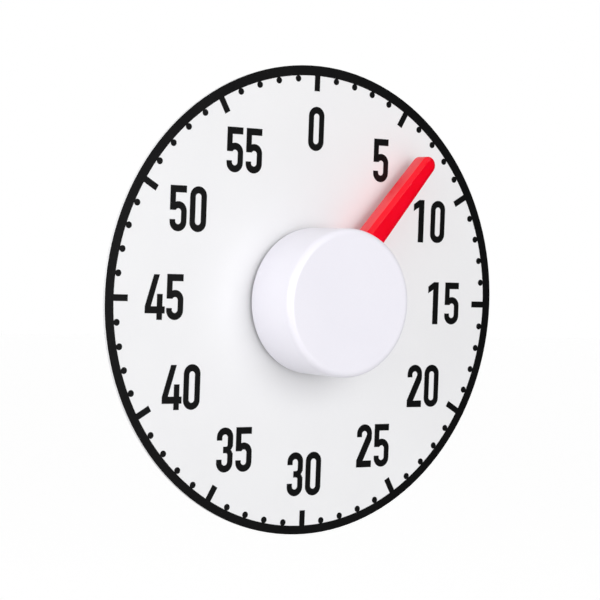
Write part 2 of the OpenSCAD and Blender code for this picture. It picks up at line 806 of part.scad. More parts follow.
click_sweep = 52;                                  // from the click's nose to its pivot
click_reach = 4.6;                                 // from the ratchet's tips to the click's pivot
click_r = ratchet_r + click_reach;
click_play = 3.5;                                  // from a ratchet tooth's steep face to the nose
click_deg = 30;
click_boss_r = 1.5;
click_spring_w = 0.5;
ratchet_in_r = ratchet_r - ratchet_depth;

// the click's frame has the steep face of the tooth that it drops behind on its x axis
module click_frame() { rotate(pointer_deg + click_deg) children(); }

module great_wheel() {
    color("goldenrod") stand() lift(great_z) rotate(great_turn) linear_extrude(wheel_t) difference() {
        wheel_outline(great_teeth, great_module);
        circle(d = arbor_d + 2 * run);
        rotate(click_deg) at(polar(click_r, click_sweep)) circle(d = 1 + 2 * fit);
        rotate(click_deg) at(polar(click_r + 0.9, click_sweep + spring_sweep)) circle(d = 1 + 2 * fit);
    }
}

// teeth that rise anticlockwise and drop at a steep face
module ratchet_outline() {
    pitch = 360 / ratchet_teeth;
    polygon([for (k = [0 : ratchet_teeth - 1]) each [
        polar(ratchet_in_r, k * pitch),
        polar(ratchet_in_r + ratchet_depth / 2, (k + 0.5) * pitch),
        polar(ratchet_r, (k + 1) * pitch)
    ]]);
}

module ratchet_wheel() {
    color("silver") stand() lift(ratchet_z) click_frame() linear_extrude(wheel_t) difference() {
        ratchet_outline();
        circle(d = arbor_d + 2 * fit);
    }
}

module click() {
    pivot = polar(click_r, click_sweep);
    clear = 2 * slip;
    nose = polar(ratchet_in_r + clear, click_play);
    reach = atan2(nose[1] - pivot[1], nose[0] - pivot[0]);
    color("silver") stand() lift(ratchet_z) click_frame() difference() {
        union() {
            at(pivot) cylinder(r = click_boss_r, h = wheel_t);
            linear_extrude(wheel_t) polygon([
                nose, polar(ratchet_in_r + ratchet_depth / 2 + clear, 15), polar(ratchet_r + clear, 30),
                pivot + polar(click_boss_r * 0.9, reach - 50), pivot + polar(click_boss_r * 0.9, reach + 50),
                polar(ratchet_r + 2.8, 24), polar(ratchet_r + 0.9, click_play)
            ]);
        }
        at(pivot) lift(-cut) cylinder(d = 1 + 2 * run, h = wheel_t + 2 * cut);
    }
}

module click_rivet() {
    color("silver") stand() click_frame() at(polar(click_r, click_sweep)) {
        lift(ratchet_z - end_gap) cylinder(d = 1, h = great_z + wheel_t - ratchet_z + end_gap);
    }
}

spring_sweep = 32;                                 // from the click's pivot to its spring's post

// a leaf that bears on the click's boss from outside
module click_spring() {
    post = polar(click_r + 0.9, click_sweep + spring_sweep);
    pivot = polar(click_r, click_sweep);
    away = click_boss_r + click_spring_w / 2 + slip;
    side = atan2(pivot[1] - post[1], pivot[0] - post[0]) + asin(away / norm(pivot - post)) + 90;
    touch = pivot + polar(away, side);
    color("silver") stand() click_frame() {
        at(post) lift(ratchet_z) cylinder(d = 1, h = great_z + wheel_t - ratchet_z);
        lift(ratchet_z) linear_extrude(wheel_t) bar(post, touch, click_spring_w);
    }
}

// an Archimedean strip from the arbor out, with its end bent towards the post
module mainspring() {
    inner = arbor_d / 2 + 1.5 * slip;
    pitch = (spring_r - inner - spring_strip) / spring_turns;
    step = 15;
    last = spring_turns * 360 / step;
    start = spring_post_deg - spring_turns * 360;
    hook = [spring_r + 1.1, spring_post_deg + 4];
    color("steelblue") stand() lift(spring_z) linear_extrude(spring_h) polygon(concat(
        [for (i = [0 : last]) polar(inner + pitch * i * step / 360, start + i * step)],
        [polar(hook[0], hook[1]), polar(hook[0] + spring_strip, hook[1] - 1)],
        [for (i = [last : -1 : 0]) polar(inner + spring_strip + pitch * i * step / 360, start + i * step)]
    ));
}

module spring_post() {
    color("silver") stand() at(polar(spring_r + 1.9, spring_post_deg + 9.5))
        lift(inner_back_z) cylinder(d = 2, h = spring_z + spring_h - inner_back_z);
}

// ---------------------------------------------------------------- train

// a wheel and its pinion moulded in one on a twelve-sided bore
module wheel_and_pinion(teeth, mod, wheel_z, pinion_mod, pinion_turn, pinion_z, hub_r) {
    low = min(wheel_z, pinion_z - pinion_lap);
    high = max(wheel_z + wheel_t, pinion_z + wheel_t + pinion_lap);
    difference() {
        union() {
            lift(wheel_z) linear_extrude(wheel_t) difference() {
                wheel_outline(teeth, mod);
                light_holes(5, mod * teeth * 0.28, mod * teeth * 0.17);
            }
            lift(low) linear_extrude(high - low) circle(r = hub_r, $fn = 12);
            lift(pinion_z - pinion_lap) rotate(pinion_turn) linear_extrude(wheel_t + 2 * pinion_lap)
                pinion_outline(pinion_mod);
        }
        lift(low - cut) linear_extrude(high - low + 2 * cut) seat_outline(train_arbor_d);
    }
}

module second_wheel() {
    color("white") stand() at(second_at)
        wheel_and_pinion(second_teeth, second_module, second_z, great_module, second_pinion_turn, great_z,
                         great_module * (pinion_teeth / 2 - pinion_dedendum));
}

module second_arbor() { color("silver") stand() at(second_at) pivoted_arbor(train_arbor_d); }

module third_wheel() {
    color("white") stand() at(third_at)
        wheel_and_pinion(third_teeth, third_module, third_z, second_module, third_pinion_turn, second_z,
                         second_module * (pinion_teeth / 2 - pinion_dedendum));
}

module third_arbor() { color("silver") stand() at(third_at) pivoted_arbor(train_arbor_d); }

// pointed teeth, with the middle of a gap on the x axis
module escape_outline() {
    pitch = 360 / escape_teeth;
    tip_half = 0.9;
    root_half = pitch * 0.32;
    root_r = escape_r - escape_depth;
    polygon([for (k = [0 : escape_teeth - 1]) let (mid = (k + 0.5) * pitch) each [
        polar(root_r, mid - root_half), polar(escape_r, mid - tip_half),
        polar(escape_r, mid + tip_half), polar(root_r, mid + root_half)
    ]]);
}

module escape_wheel() {
    hub_r = third_module * (pinion_teeth / 2 - pinion_dedendum);
    low = third_z - pinion_lap;
    color("white") stand() at(escape_at) difference() {
        union() {
            lift(escape_z) rotate(pallet_dir) linear_extrude(wheel_t) escape_outline();
            lift(low) linear_extrude(escape_z + wheel_t / 2 - low) circle(r = hub_r, $fn = 12);
            lift(low) rotate(escape_pinion_turn) linear_extrude(wheel_t + 2 * pinion_lap)
                pinion_outline(third_module);
        }
        lift(low - cut) linear_extrude(escape_z - low + 2 * cut + wheel_t) seat_outline(train_arbor_d);
    }
}

module escape_arbor() { color("silver") stand() at(escape_at) pivoted_arbor(train_arbor_d); }

// the pallet pins stand just outside the escape teeth while the lever is in mid swing
pin_r = escape_r + pallet_pin_d / 2 + slip;
pin_half = pallet_span * 180 / escape_teeth;

module pallet_lever() {
    hub = [pallet_reach, 0];
    color("goldenrod") stand() at(escape_at) rotate(pallet_dir) difference() {
        union() {
            for (s = [-1, 1]) {
                lift(pallet_z) linear_extrude(wheel_t) bar(hub, polar(pin_r, s * pin_half), 1.2);
                lift(escape_z) at(polar(pin_r, s * pin_half))
                    cylinder(d = pallet_pin_d, h = pallet_z - escape_z + wheel_t / 2, $fn = 12);
            }
            lift(pallet_z) at(hub) cylinder(d = 3, h = wheel_t);
        }
        lift(pallet_z - cut) at(hub) linear_extrude(wheel_t + 2 * cut) seat_outline(train_arbor_d);
    }
}

module pallet_arbor() { color("silver") stand() at(pallet_at) pivoted_arbor(train_arbor_d); }

module balance_bar() {
    end = balance_len / 2 - 1;
    color("silver") stand() at(pallet_at) rotate(balance_dir) lift(second_z) linear_extrude(wheel_t)
        difference() {
            union() {
                bar([-end, 0], [end, 0], 1.6);
                for (s = [-1, 1]) translate([s * end, 0]) circle(d = 3);
                circle(d = 3);
            }
            seat_outline(train_arbor_d);
        }
}

// ---------------------------------------------------------------- alarm

bell_screw_d = 2;

// a shallow cup, open towards the movement
module bell() {
    bend = 1.2;
    top = back_z - bell_seat_z - layer_gap;
    color("silver") stand() lift(bell_seat_z) rotate_extrude($fn = 96) difference() {
        union() {
            translate([bell_screw_d / 2 + slip, 0]) square([bell_r - bend - bell_screw_d / 2 - slip, bell_wall]);
            translate([bell_r - bell_wall, bend]) square([bell_wall, top - bend]);
            intersection() {
                translate([bell_r - bend, bend]) difference() {
                    circle(r = bend);
                    circle(r = bend - bell_wall);
                }
                translate([bell_r - bend, 0]) square([bend, bend]);
            }
        }
    }
}

module bell_screw() {
    color("silver") stand() lift(bell_seat_z + bell_wall)
        screw(bell_screw_d, 2 * bell_screw_d, 0.9, bell_seat_z + bell_wall - 1);
}

// the hammer head's middle, level with the bell, a little outside its wall
head_at = polar(bell_r + hammer_gap + hammer_head_r, 165);
lever_z = back_z - layer_gap - wheel_t;

// behind the back plate, with the head
module hammer_lever() {
    color("silver") stand() lift(lever_z) linear_extrude(wheel_t) difference() {
        union() {
            bar(hammer_at, head_at, 1.8);
            at(hammer_at) circle(d = 3.6);
            at(head_at) circle(d = 2.4);
        }
        at(hammer_at) seat_outline(train_arbor_d);
        at(head_at) seat_outline(1);
    }
}

tail_w = 1.2;
tail_gap = 0.5;                                    // between the tail and the star while the hammer is held
prop_gap = 0.12;                                   // between the held arm and the lever that props it
hold_end = hammer_at + [-3.9, 0];
// the tail's end stands square to the star, so that the hammer's turn brings it straight in
tail_reach = star_r + tail_gap + tail_w / 2;
tail_end = second_at + polar(tail_reach, atan2(hammer_at[1] - second_at[1], hammer_at[0] - second_at[0])
                                         + acos(tail_reach / norm(hammer_at - second_at)));

// between the plates: a tail for the star, and above it the arm that the release lever props
module hammer_tail() {
    color("silver") stand() at(hammer_at) difference() {
        union() {
            lift(stop_z) linear_extrude(wheel_t) bar([0, 0], tail_end - hammer_at, tail_w);
            lift(stop_z) linear_extrude(second_z + wheel_t - stop_z) circle(d = 3);
            lift(second_z) linear_extrude(wheel_t) bar([0, 0], hold_end - hammer_at, tail_w);
        }
        lift(stop_z - cut) linear_extrude(second_z - stop_z + 3 * cut) seat_outline(train_arbor_d);
    }
}

module hammer_arbor() {
    color("silver") stand() at(hammer_at) {
        lift(lever_z) cylinder(d = pivot_d, h = floor_z - lever_z - end_gap / 2);
        lift(lever_z) cylinder(d = train_arbor_d, h = wheel_t);
        lift(inner_back_z + end_gap) cylinder(d = train_arbor_d, h = inner_front_z - inner_back_z - 2 * end_gap);
    }
}

module hammer_head() {
    color("goldenrod") stand() at(head_at) {
        lift(bell_seat_z + bell_wall) cylinder(r = hammer_head_r, h = lever_z - bell_seat_z - bell_wall);
        lift(lever_z - end_gap) cylinder(d = 1, h = wheel_t + end_gap);
    }
}

// a leaf beside the hammer lever, on the side away from the bell
module hammer_spring() {
    along = (head_at - hammer_at) / norm(head_at - hammer_at);
    side = [along[1], -along[0]];
    post = hammer_at + 3.6 * side - 1.5 * along;
    leaf_reach = 5;
    color("silver") stand() {
        at(post) lift(lever_z) cylinder(d = 1.6, h = back_z - lever_z);
        lift(lever_z) linear_extrude(wheel_t) bar(post, hammer_at + leaf_reach * along + 1.55 * side, 0.4);
    }
}

module alarm_star() {
    color("goldenrod") stand() at(second_at) lift(stop_z) linear_extrude(wheel_t) difference() {
        polygon([for (k = [0 : 15]) polar(k % 2 == 0 ? star_r : star_r * 0.62, k * 22.5)]);
        seat_outline(train_arbor_d);
    }
}

// the finger rides under the cam, and the notch comes to it when the pointer is at zero
finger_deg = -105;

module release_cam() {
    color("white") stand() lift(second_z) rotate(pointer_deg) linear_extrude(wheel_t) difference() {
        circle(r = cam_r);
        circle(d = arbor_d + 2 * fit);
        rotate(finger_deg) polygon([
            polar(cam_r - notch_depth, -10), polar(cam_r + 1, -16), polar(cam_r + 1, 16),
            polar(cam_r - notch_depth, 10)
        ]);
    }
}

lever_w = 1.4;
prop_w = 1.2;
finger_w = 1;                                      // the finger that rests on the cam
prop_end = hold_end + [0.4, -(tail_w + prop_w) / 2 - prop_gap];

module release_lever() {
    touch = polar(cam_r + 1.5 * slip + finger_w / 2, finger_deg);
    elbow = touch + finger_w * [0.1, -1.3];
    color("goldenrod") stand() lift(second_z) linear_extrude(wheel_t) difference() {
        union() {
            bar(release_at, elbow, lever_w);
            bar(elbow, touch, finger_w);
            bar(release_at, prop_end, prop_w);
            at(release_at) circle(d = 3 * prop_w);
        }
        at(release_at) circle(d = train_arbor_d + 2 * run);
    }
}

// a stud on the back plate
module release_arbor() {
    color("silver") stand() at(release_at) {
        lift(back_z) cylinder(d = pivot_d, h = mplate_t + end_gap);
        lift(inner_back_z) cylinder(d = train_arbor_d, h = third_z - inner_back_z);
        lift(inner_back_z) cylinder(d = 2 * train_arbor_d, h = second_z - end_gap / 2 - inner_back_z);
    }
}

// a leaf that holds the lever's finger to the cam
module release_spring() {
    post = release_at + [3.1, 4.2];
    leaf_end = release_at + (prop_end - release_at) * 0.42 + [lever_w / 2 + 0.95, 0];
    color("silver") stand() {
        at(post) lift(inner_back_z) cylinder(d = 1.2, h = second_z + wheel_t - inner_back_z);
        lift(second_z) linear_extrude(wheel_t) bar(post, leaf_end, 0.4);
    }
}

// ---------------------------------------------------------------- stop

stop_pin_d = 1.6;
stop_r = 10;
stop_pin_deg = 300;
// the dead angle between the arm's two ends of travel has the pin in its middle, and the arm's
// width fills what the pin leaves of it
dead_deg = 360 - longest_minutes * minute_deg;
stop_arm_w = 2 * stop_r * sin(dead_deg / 2) - stop_pin_d - slip / 2;

module stop_arm() {
    color("silver") stand() lift(stop_z) rotate(pointer_deg + stop_pin_deg - dead_deg / 2)
        linear_extrude(wheel_t) difference() {
            union() {
                circle(r = arbor_d / 2 + 1.6);
                translate([0, -stop_arm_w / 2]) square([stop_r + stop_pin_d / 2, stop_arm_w]);
            }
            circle(d = arbor_d + 2 * fit);
        }
}

module stop_pin() {
    color("silver") stand() at(polar(stop_r, stop_pin_deg)) lift(inner_back_z)
        cylinder(d = stop_pin_d, h = wheel_t + 2 * layer_gap - slip);
}

dial_plate();
minute_band();
numerals();
drum_case();
rear_cover();
cover_screws();
magnets();
front_movement_plate();
back_movement_plate();
pillars();
pillar_screws();
centre_bush();
washer();
hex_nut();
knob_cap();
knob_insert();
pointer();
pointer_screws();
main_arbor();
great_wheel();
ratchet_wheel();
click();
click_rivet();
click_spring();
mainspring();
spring_post();
second_wheel();
second_arbor();
third_wheel();
third_arbor();
escape_wheel();
escape_arbor();
pallet_lever();
pallet_arbor();
balance_bar();
alarm_star();
hammer_lever();
hammer_tail();
hammer_arbor();
hammer_head();
hammer_spring();
bell();
bell_screw();
release_cam();
release_lever();
release_arbor();
release_spring();
stop_arm();
stop_pin();
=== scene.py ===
import math

import bmesh
import bpy
import numpy as np
from mathutils import Matrix


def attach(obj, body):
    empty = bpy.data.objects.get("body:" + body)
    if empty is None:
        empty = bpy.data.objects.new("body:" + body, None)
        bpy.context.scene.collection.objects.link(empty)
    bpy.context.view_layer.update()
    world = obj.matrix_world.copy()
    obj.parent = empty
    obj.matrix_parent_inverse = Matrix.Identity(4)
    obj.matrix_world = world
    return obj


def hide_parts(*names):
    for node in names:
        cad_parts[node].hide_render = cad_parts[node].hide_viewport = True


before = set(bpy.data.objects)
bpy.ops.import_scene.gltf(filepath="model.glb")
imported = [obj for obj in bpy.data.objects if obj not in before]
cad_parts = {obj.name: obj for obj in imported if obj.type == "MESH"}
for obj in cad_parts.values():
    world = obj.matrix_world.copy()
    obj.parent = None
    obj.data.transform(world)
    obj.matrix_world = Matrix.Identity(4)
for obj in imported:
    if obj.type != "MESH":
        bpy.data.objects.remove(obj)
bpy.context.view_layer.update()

# ---- Dial plate ----
# A thin disc injection-moulded from white ABS, with a satin face and a small rounding left by
# the mould's parting line. Pegs key it to the drum, and the movement's nut clamps it there.
PLATE_R, PLATE_EDGE, BUSH_BORE_R = 90.0, 0.15, 4.1
PLATE_BACK, FACE = 17.5, 18.9
PEG_R, PEG_CHAMFER, PEG_END, PEG_AT, PEG_ROOT = 1.5, 0.2, 16.35, 20.0, 0.1
# a row of corners this far from a rounding keeps the shading of the flat beside it flat
FLAT_ROW = 0.1


def stand(points):
    """Dial view in millimetres (x right, y up, z to the viewer) to the frame in metres: x, -z, y."""
    points = np.asarray(points, float)
    return points[..., [0, 2, 1]] * [0.001, -0.001, 0.001]


def piece(name, part, body, material, sharp=35):
    """A mesh object from a part, which is its corners and its faces of four corners. It is turned
    outward where its signed volume, the sum of the corner determinants of its triangles over six,
    is negative."""
    vertices = stand(part[0])
    faces = np.asarray(part[1], int)
    fan = np.concatenate([faces[:, [0, 1, 2]], faces[:, [0, 2, 3]]])
    volume = np.linalg.det(vertices[fan]).sum() / 6
    if volume < 0:
        faces = faces[:, ::-1]
    loops = [list(dict.fromkeys(row)) for row in faces.tolist()]
    mesh = bpy.data.meshes.new(name)
    mesh.from_pydata(vertices.tolist(), [], loops)
    mesh.shade_smooth()
    mesh.set_sharp_from_angle(angle=math.radians(sharp))
    mesh.materials.append(material)
    made = bpy.data.objects.new(name, mesh)
    bpy.context.scene.collection.objects.link(made)
    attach(made, body)
    return made


def bridged(number):
    """Faces between each row of corner numbers and the next, all the way round."""
    here, there = number[:-1], number[1:]
    return np.stack([here, np.roll(here, -1, 1), np.roll(there, -1, 1), there], axis=-1)


def lathe(profile, around=180):
    """A profile of (radius, height) points carried round the axis: x = r sin a, y = r cos a, z = h.
    A profile that ends on the axis closes there, and others close on themselves."""
    profile = np.asarray(profile, float)
    turn = np.arange(around) * 2 * np.pi / around
    rows = np.stack([profile[:, :1] * np.sin(turn), profile[:, :1] * np.cos(turn),
                     profile[:, 1:] + 0 * turn], axis=-1)
    number = np.arange(rows[..., 0].size).reshape(len(profile), around)
    number[profile[:, 0] == 0] = number[profile[:, 0] == 0, :1]
    if profile[0, 0] != 0:
        number = np.vstack([number, number[:1]])
    return rows.reshape(-1, 3), bridged(number).reshape(-1, 4)


def joined(parts):
    """Several parts as one, each part's corner numbers moved up past the last."""
    starts = np.cumsum([0] + [len(part[0]) for part in parts])
    return (np.concatenate([part[0] for part in parts]),
            np.concatenate([np.asarray(part[1]) + start for part, start in zip(parts, starts)]))


def arc(centre, radius, start, stop, steps):
    """Points on a circle: centre plus radius times (cos t, sin t), t in degrees from start to stop."""
    turn = np.radians(np.linspace(start, stop, steps + 1))
    return np.stack([centre[0] + radius * np.cos(turn), centre[1] + radius * np.sin(turn)], -1)


def srgb(hex_colour):
    """Linear colour of an sRGB hex value: c / 12.92 up to 0.04045, else ((c + 0.055) / 1.055) ^ 2.4."""
    c = np.array([int(hex_colour[i:i + 2], 16) for i in (1, 3, 5)]) / 255
    return (*np.where(c <= 0.04045, c / 12.92, ((c + 0.055) / 1.055) ** 2.4).tolist(), 1.0)


def add(owner, kind, inputs=None, **settings):
    """Adds a node with its settings, and sets or links its inputs, by socket name or number."""
    node = owner.node_tree.nodes.new(kind)
    for name, value in settings.items():
        setattr(node, name, value)
    for socket, value in (inputs or {}).items():
        if isinstance(value, bpy.types.NodeSocket):
            owner.node_tree.links.new(value, node.inputs[socket])
        else:
            node.inputs[socket].default_value = value
    return node


def finish(name, **constants):
    """A new material with its shader's constant values set, and object coordinates in millimetres."""
    material = bpy.data.materials.new(name)
    material.use_nodes = True
    shader = material.node_tree.nodes["Principled BSDF"]
    for socket, value in constants.items():
        shader.inputs[socket.replace("_", " ")].default_value = value
    place = add(material, "ShaderNodeTexCoord").outputs["Object"]
    mapping = add(material, "ShaderNodeMapping", {"Vector": place, "Scale": (1000, 1000, 1000)})
    return material, mapping.outputs["Vector"]


def wire(material, output, socket):
    """Links an output to the socket of that name on the material's shader."""
    shader = material.node_tree.nodes["Principled BSDF"]
    material.node_tree.links.new(output, shader.inputs[socket])


def coat(material, tones, roughness, relief=None):
    """Varies a finish over its piece. Tones are a map and the two hex colours it runs between,
    roughness is a map and two values, and relief is a map, its strength and its depth in metres."""
    tone = add(material, "ShaderNodeMix", {"Factor": tones[0], 6: srgb(tones[1]), 7: srgb(tones[2])},
               data_type="RGBA")
    skin = add(material, "ShaderNodeMapRange",
               {"Value": roughness[0], "To Min": roughness[1], "To Max": roughness[2]})
    wire(material, tone.outputs[2], "Base Color")
    wire(material, skin.outputs["Result"], "Roughness")
    if relief:
        bump = add(material, "ShaderNodeBump",
                   {"Height": relief[0], "Strength": relief[1], "Distance": relief[2]})
        wire(material, bump.outputs["Normal"], "Normal")


# Moulded ABS: off-white, nearly even, with a satin skin. The pigment drifts a little over
# some 40 mm, and the mould's fine grain, 0.4 mm, breaks up the gloss.
dial_abs, mm = finish("moulded_white_abs", IOR=1.54)
drift = add(dial_abs, "ShaderNodeTexNoise", {"Vector": mm, "Scale": 1 / 40, "Detail": 2.0}).outputs["Fac"]
grain = add(dial_abs, "ShaderNodeTexNoise", {"Vector": mm, "Scale": 1 / 0.4, "Detail": 2.0}).outputs["Fac"]
rest = add(dial_abs, "ShaderNodeMath", {0: grain, 1: 0.4}, operation="MULTIPLY")
blend = add(dial_abs, "ShaderNodeMath", {0: drift, 1: 0.6, 2: rest.outputs[0]}, operation="MULTIPLY_ADD")
coat(dial_abs, (blend.outputs[0], "#EDEDEF", "#F7F7F8"), (drift, 0.29, 0.35), (grain, 0.12, 0.00002))

low, high, edge = PLATE_BACK + PLATE_EDGE, FACE - PLATE_EDGE, PLATE_R - PLATE_EDGE
plate_section = np.concatenate([
    [(BUSH_BORE_R, PLATE_BACK), (edge - FLAT_ROW, PLATE_BACK)], arc((edge, low), PLATE_EDGE, -90, 0, 4),
    arc((edge, high), PLATE_EDGE, 0, 90, 4), [(edge - FLAT_ROW, FACE), (BUSH_BORE_R, FACE)]])
peg, faces = lathe([(0, PEG_END), (PEG_R - PEG_CHAMFER, PEG_END), (PEG_R, PEG_END + PEG_CHAMFER),
                    (PEG_R, PLATE_BACK + PEG_ROOT), (0, PLATE_BACK + PEG_ROOT)], 32)
pegs = [(peg + [PEG_AT * math.cos(turn), PEG_AT * math.sin(turn), 0], faces)
        for turn in np.radians([0, 90, 180, 270])]
plate = piece("dial_face_plate", joined([lathe(plate_section, 360), *pegs]), "case", dial_abs)
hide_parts("dial_plate")

# ---- Printed minute ring and numerals ----
# Black ink, screen-printed on the plate in one pass: an edge band with ticks and dots, and
# upright numerals. The mesh of the screen leaves the ink a little uneven.


def dress(material, *names):
    """Puts a material in every slot of the named CAD nodes."""
    for name in names:
        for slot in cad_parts[name].material_slots:
            slot.material = material


# Screen ink: nearly black, even, a soft sheen; the screen's threads, 0.25 mm apart, show faintly.
ink, mm = finish("screen_printed_ink", IOR=1.5, Specular_IOR_Level=0.2)
weave = add(ink, "ShaderNodeTexNoise", {"Vector": mm, "Scale": 1 / 0.25, "Detail": 1.0}).outputs["Fac"]
flow = add(ink, "ShaderNodeTexNoise", {"Vector": mm, "Scale": 1 / 12, "Detail": 2.0}).outputs["Fac"]
coat(ink, (flow, "#060607", "#0B0B0C"), (flow, 0.32, 0.4), (weave, 0.15, 0.00002))
dress(ink, "minute_band", "numerals")

# ---- Drum case and rear cover ----
# The drum that holds the movement, and its flat cover with sound slots, both moulded in white
# ABS from a spark-eroded tool, so their skin is matt. Screws hold the cover to four posts.


def eased(name, node, body, material, width, sharp=30):
    """A copy of a CAD node's mesh in its place: its loose triangles are merged within 2 micrometres,
    its faces that bend less than 0.3 degrees are made whole, and its edges are rounded to the
    given width in millimetres."""
    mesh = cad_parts[node].data.copy()
    mesh.name = name
    work = bmesh.new()
    work.from_mesh(mesh)
    bmesh.ops.remove_doubles(work, verts=work.verts, dist=2e-6)
    bmesh.ops.dissolve_limit(work, angle_limit=math.radians(0.3), verts=work.verts, edges=work.edges)
    work.to_mesh(mesh)
    work.free()
    mesh.shade_smooth()
    mesh.set_sharp_from_angle(angle=math.radians(sharp))
    mesh.materials.clear()
    mesh.materials.append(material)
    made = bpy.data.objects.new(name, mesh)
    bpy.context.scene.collection.objects.link(made)
    rounding = made.modifiers.new("rounding", "BEVEL")
    rounding.width = width / 1000
    rounding.segments = 2
    rounding.limit_method = "ANGLE"
    rounding.angle_limit = math.radians(sharp)
    rounding.harden_normals = True
    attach(made, body)
    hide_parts(node)


# Spark-eroded ABS: white and matt, pitted all over at 0.5 mm.
case_abs, mm = finish("spark_textured_white_abs", IOR=1.54)
pits = add(case_abs, "ShaderNodeTexNoise", {"Vector": mm, "Scale": 1 / 0.5, "Detail": 3.0}).outputs["Fac"]
drift = add(case_abs, "ShaderNodeTexNoise", {"Vector": mm, "Scale": 1 / 30, "Detail": 2.0}).outputs["Fac"]
coat(case_abs, (drift, "#E6E6E7", "#EDEDED"), (drift, 0.48, 0.58), (pits, 0.5, 0.00006))
eased("drum_shell", "drum_case", "case", case_abs, 0.25)
eased("rear_cover_disc", "rear_cover", "case", case_abs, 0.2)

# ---- Magnets ----
# Four disc magnets pressed into the cover, flush with its rear: sintered, ground flat and
# nickel-plated, so each shows fine parallel grinding marks.
magnet_nickel, mm = finish("ground_nickel_magnet", Metallic=1.0)
marks = add(magnet_nickel, "ShaderNodeMapping", {"Vector": mm, "Scale": (0.15, 1, 6)}).outputs["Vector"]
scratch = add(magnet_nickel, "ShaderNodeTexNoise",
              {"Vector": marks, "Scale": 1.0, "Detail": 3.0}).outputs["Fac"]
coat(magnet_nickel, (scratch, "#8E8D8B", "#B4B2AE"), (scratch, 0.28, 0.4), (scratch, 0.3, 0.00001))
dress(magnet_nickel, "magnets")

# ---- Screws ----
# Small steel screws, zinc-plated and passivated clear: bright, with a faint blue and straw
# mottle over the heads.
zinc, mm = finish("zinc_plated_steel", Metallic=1.0)
mottle = add(zinc, "ShaderNodeTexNoise", {"Vector": mm, "Scale": 1 / 1.5, "Detail": 3.0}).outputs["Fac"]
coat(zinc, (mottle, "#A9AFB8", "#C2BFB2"), (mottle, 0.28, 0.38))
dress(zinc, "cover_screws", "pillar_screws", "bell_screw", "pointer_screws")

# ---- Movement plates, bush and brass parts ----
# Plates, lever and wheel blanks are stamped from rolled brass sheet and tumbled: the rolling
# lines run along X, and handling leaves slightly duller patches.
brass, mm = finish("stamped_rolled_brass", Metallic=1.0)
lines = add(brass, "ShaderNodeMapping", {"Vector": mm, "Scale": (0.08, 1, 3)}).outputs["Vector"]
rolled = add(brass, "ShaderNodeTexNoise", {"Vector": lines, "Scale": 1.5, "Detail": 3.0}).outputs["Fac"]
patch = add(brass, "ShaderNodeTexNoise", {"Vector": mm, "Scale": 1 / 8, "Detail": 3.0}).outputs["Fac"]
coat(brass, (patch, "#B08D46", "#D2B067"), (rolled, 0.28, 0.42), (rolled, 0.3, 0.00001))
dress(brass, "front_movement_plate", "back_movement_plate", "centre_bush", "great_wheel", "pallet_lever",
      "alarm_star", "hammer_head", "release_lever", "knob_insert")

# ---- Steel parts ----
# Arbors, pillars, washer, nut, ratchet and levers are turned or stamped from free-cutting
# steel: bluish grey, with fine tool lines 0.2 mm apart along the depth.
steel, mm = finish("turned_steel", Metallic=1.0)
tool_lines = add(steel, "ShaderNodeTexWave",
                 {"Vector": mm, "Scale": 1 / 0.2, "Distortion": 1.5, "Detail": 2.0},
                 bands_direction="Y").outputs["Fac"]
patch = add(steel, "ShaderNodeTexNoise", {"Vector": mm, "Scale": 1 / 3, "Detail": 3.0}).outputs["Fac"]
coat(steel, (patch, "#8C8E93", "#AEAFB2"), (patch, 0.28, 0.38), (tool_lines, 0.15, 0.00001))
dress(steel, "pillars", "washer", "hex_nut", "main_arbor", "ratchet_wheel", "click", "click_rivet",
      "spring_post", "second_arbor", "third_arbor", "escape_arbor", "pallet_arbor", "balance_bar",
      "hammer_lever", "hammer_tail", "hammer_arbor", "release_arbor", "stop_arm", "stop_pin")

# ---- Springs ----
# The mainspring and the leaf springs are strips of hardened and tempered steel, blued by the
# heat: grey-blue with straw patches and a smooth rolled skin.
spring_steel, mm = finish("tempered_spring_steel", Metallic=1.0)
temper = add(spring_steel, "ShaderNodeTexNoise",
             {"Vector": mm, "Scale": 1 / 5, "Detail": 2.0}).outputs["Fac"]
coat(spring_steel, (temper, "#4D5A70", "#77716A"), (temper, 0.18, 0.26))
dress(spring_steel, "mainspring", "click_spring", "hammer_spring", "release_spring")

# ---- Moulded wheels and cam ----
# The second, third and escape wheels with their pinions, and the release cam, are moulded in
# acetal: milky, slightly see-through and waxy.
acetal, mm = finish("moulded_acetal", IOR=1.48, Subsurface_Weight=0.15, Subsurface_Scale=0.001)
milk = add(acetal, "ShaderNodeTexNoise", {"Vector": mm, "Scale": 1 / 4, "Detail": 2.0}).outputs["Fac"]
coat(acetal, (milk, "#E4E2D8", "#EFEDE4"), (milk, 0.3, 0.42))
dress(acetal, "second_wheel", "third_wheel", "escape_wheel", "release_cam")

# ---- Bell ----
# A shallow bell drawn from steel sheet and nickel-plated bright, with the faint rings that
# drawing and polishing leave round its axis.
bell_nickel, mm = finish("drawn_nickel_plated_steel", Metallic=1.0)
rings = add(bell_nickel, "ShaderNodeTexWave",
            {"Vector": mm, "Scale": 1 / 1.2, "Distortion": 0.8, "Detail": 2.0},
            wave_type="RINGS", rings_direction="Y").outputs["Fac"]
coat(bell_nickel, (rings, "#BDBBB5", "#C9C7C2"), (rings, 0.1, 0.2))
dress(bell_nickel, "bell")

